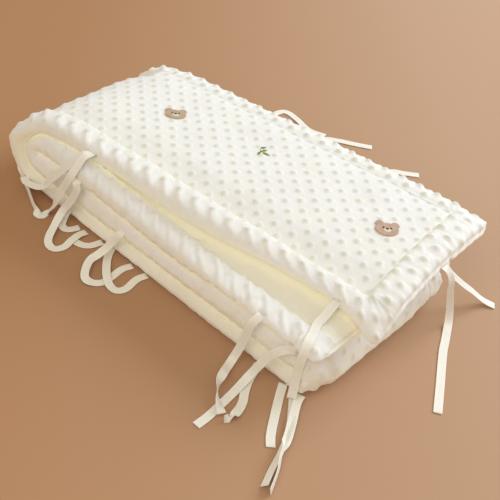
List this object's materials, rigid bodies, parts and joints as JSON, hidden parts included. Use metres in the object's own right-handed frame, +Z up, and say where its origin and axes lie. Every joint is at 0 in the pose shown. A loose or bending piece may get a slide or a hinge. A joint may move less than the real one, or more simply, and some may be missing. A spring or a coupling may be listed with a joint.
{
  "type": "crib bumper",
  "caption": "Long padded crib bumper with a stitched border channel, folded into flat layers and lying with its ribbon ties spread around it.",
  "frame": {"origin": "on the floor, under the middle of the bottom layer, in the flat patch that the pad lies on", "axes": "+X along the folded stack from its double fold to its free ends, +Y across it away from the viewed long side, +Z up"},
  "size_m": [0.7933, 0.708, 0.1329],
  "materials": {
    "plush": "white dotted plush on one side, smooth cream plush on the other",
    "ribbon": "cream satin ribbon",
    "tan_felt": "tan embroidered felt",
    "pink_felt": "pinkish tan embroidered felt"
  },
  "bodies": {
    "root": {"folded_pad": "plush", "bear_patch_left": "tan_felt", "bear_patch_right": "pink_felt", "tie_front_1a": "ribbon", "tie_front_1b": "ribbon", "tie_front_2a": "ribbon", "tie_front_2b": "ribbon", "tie_front_2c": "ribbon", "tie_front_3a": "ribbon", "tie_front_3b": "ribbon", "tie_front_4a": "ribbon", "tie_front_5a": "ribbon", "tie_front_5b": "ribbon", "tie_front_6a": "ribbon", "tie_front_6b": "ribbon", "tie_front_6c": "ribbon", "tie_front_6d": "ribbon", "tie_end_7a": "ribbon", "tie_end_7b": "ribbon", "tie_back_8a": "ribbon", "tie_back_8b": "ribbon", "tie_back_9": "ribbon"}
  },
  "joints": []
}
